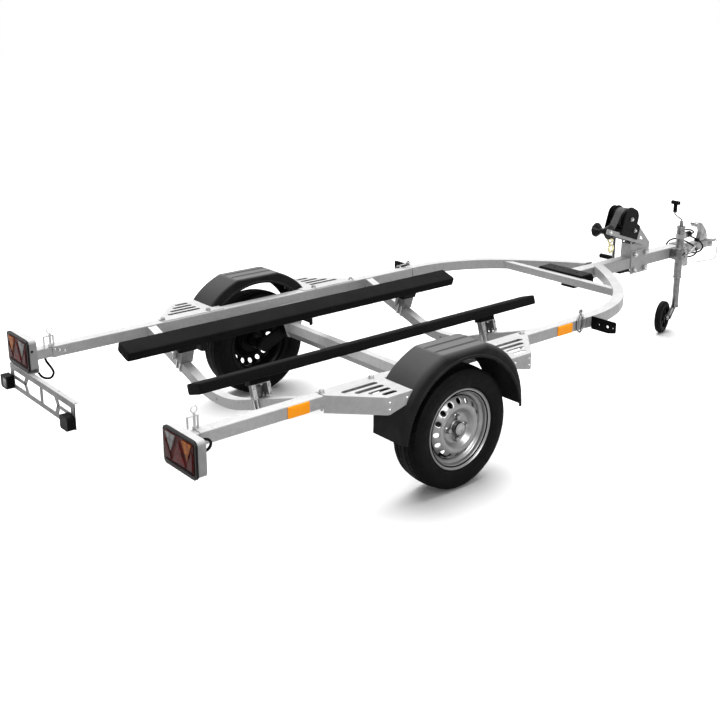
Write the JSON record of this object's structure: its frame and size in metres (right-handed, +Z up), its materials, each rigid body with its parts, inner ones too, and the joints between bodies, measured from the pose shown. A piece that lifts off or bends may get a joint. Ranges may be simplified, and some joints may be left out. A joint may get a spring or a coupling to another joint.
{
  "type": "boat trailer",
  "caption": "Single-axle unbraked boat trailer: galvanised frame with bent front, carpeted bunks, winch post, mudguards, sliding lamp carriers and jockey wheel.",
  "frame": {"origin": "centre of the trailer's box on the ground it stands on, with its wheels and jockey wheel down", "axes": "+X forward to the coupling, +Y to the left, +Z up"},
  "size_m": [4.5267, 1.724, 0.8424],
  "materials": {
    "galvanised_steel": "hot-dip galvanised, matt with faint spangle",
    "zinc_plate": "bright zinc plate",
    "black_plastic": "fine grained",
    "bunk_carpet": "ribbed rubber-backed carpet",
    "tyre_rubber": "moulded rubber",
    "silver_paint": "silver wheel paint",
    "lamp_housing": "grey housing",
    "black_paint": "black powder coat",
    "black_rubber": "matt",
    "amber_reflector": "prismatic amber",
    "lamp_lens": "red, amber and clear fields",
    "cord_black": "smooth PVC sheath",
    "cable_clear": "steel rope in a clear sheath",
    "strap_webbing": "woven polyester",
    "zinc_yellow": "yellow passivated zinc"
  },
  "bodies": {
    "frame": {"axle_mounts": "galvanised_steel", "axle_tube": "galvanised_steel", "breakaway_cable": "cable_clear", "bunk_blocks": "black_plastic", "bunk_brackets": "galvanised_steel", "bunk_left": "bunk_carpet", "bunk_right": "bunk_carpet", "carrier_pins": "zinc_plate", "coupling_catch": "black_plastic", "coupling_head": "zinc_plate", "coupling_lever": "zinc_plate", "cross_tube": "galvanised_steel", "crossmember_front": "galvanised_steel", "crossmember_rear": "galvanised_steel", "drawbar": "galvanised_steel", "front_loop": "galvanised_steel", "jockey_clamp": "zinc_plate", "jockey_knob": "black_plastic", "jockey_sleeve": "zinc_plate", "keel_support": "black_rubber", "lead_grommet": "black_rubber", "lead_plug": "black_plastic", "marker_plates": "black_plastic", "mudguard_brackets": "galvanised_steel", "mudguard_left": "black_plastic", "mudguard_right": "black_plastic", "plug_socket": "black_plastic", "post_clamp": "galvanised_steel", "rubber_pads": "black_rubber", "side_rail_left": "galvanised_steel", "side_rail_right": "galvanised_steel", "side_reflectors": "amber_reflector", "snap_hook": "zinc_yellow", "strap_tail": "strap_webbing", "suspension_arms": "galvanised_steel", "tie_hoops": "galvanised_steel", "trailer_lead": "cord_black", "winch_frame": "black_paint", "winch_post": "galvanised_steel"},
    "wheel_left": {"tyre_left": "tyre_rubber", "rim_left": "silver_paint", "hub_left": "zinc_plate"},
    "wheel_right": {"tyre_right": "tyre_rubber", "rim_right": "silver_paint", "hub_right": "zinc_plate"},
    "lamp_arm_left": {"lamp_carrier_left": "galvanised_steel", "tail_lamp_left": "lamp_housing", "lamp_lens_left": "lamp_lens", "plate_holder": "galvanised_steel", "plate_lamps": "black_plastic"},
    "lamp_arm_right": {"lamp_carrier_right": "galvanised_steel", "tail_lamp_right": "lamp_housing", "lamp_lens_right": "lamp_lens"},
    "jockey_leg": {"jockey_stem": "zinc_plate"},
    "jockey_caster": {"jockey_fork": "zinc_plate"},
    "jockey_roll": {"jockey_wheel": "black_rubber"},
    "drum": {"winch_drum": "black_paint"},
    "crank": {"winch_crank": "zinc_plate"},
    "roller": {"bow_roller": "black_rubber"}
  },
  "joints": [
    {"name": "wheel_left_spin", "type": "hinge", "parent": "frame", "child": "wheel_left", "pos_m": [-0.90404, 0.745, 0.275], "axis": [0, 1, 0], "continuous": true},
    {"name": "lamp_arm_left_slide", "type": "slide", "parent": "frame", "child": "lamp_arm_left", "axis": [-1, 0, 0], "range_m": [0, 0.35]},
    {"name": "wheel_right_spin", "type": "hinge", "parent": "frame", "child": "wheel_right", "pos_m": [-0.90404, -0.745, 0.275], "axis": [0, 1, 0], "continuous": true},
    {"name": "lamp_arm_right_slide", "type": "slide", "parent": "frame", "child": "lamp_arm_right", "axis": [-1, 0, 0], "range_m": [0, 0.35]},
    {"name": "jockey_height", "type": "slide", "parent": "frame", "child": "jockey_leg", "axis": [0, 0, 1], "range_m": [-0.1, 0.11]},
    {"name": "jockey_swivel", "type": "hinge", "parent": "jockey_leg", "child": "jockey_caster", "pos_m": [1.72504, -0.086, 0.163], "axis": [0, 0, 1], "continuous": true},
    {"name": "jockey_wheel_spin", "type": "hinge", "parent": "jockey_caster", "child": "jockey_roll", "pos_m": [1.62584, -0.06659, 0.1], "axis": [-0.2756, 0.9613, 0], "continuous": true},
    {"name": "drum_turn", "type": "hinge", "parent": "frame", "child": "drum", "pos_m": [1.2484, 0, 0.77243], "axis": [0, 1, 0], "continuous": true},
    {"name": "crank_turn", "type": "hinge", "parent": "frame", "child": "crank", "pos_m": [1.28374, 0, 0.69996], "axis": [0, 1, 0], "continuous": true},
    {"name": "bow_roller_spin", "type": "hinge", "parent": "frame", "child": "roller", "pos_m": [1.05875, 0, 0.71944], "axis": [0, 1, 0], "continuous": true}
  ],
  "couplings": [
    {"joint": "crank_turn", "follows": "drum_turn", "ratio": -3.2}
  ]
}
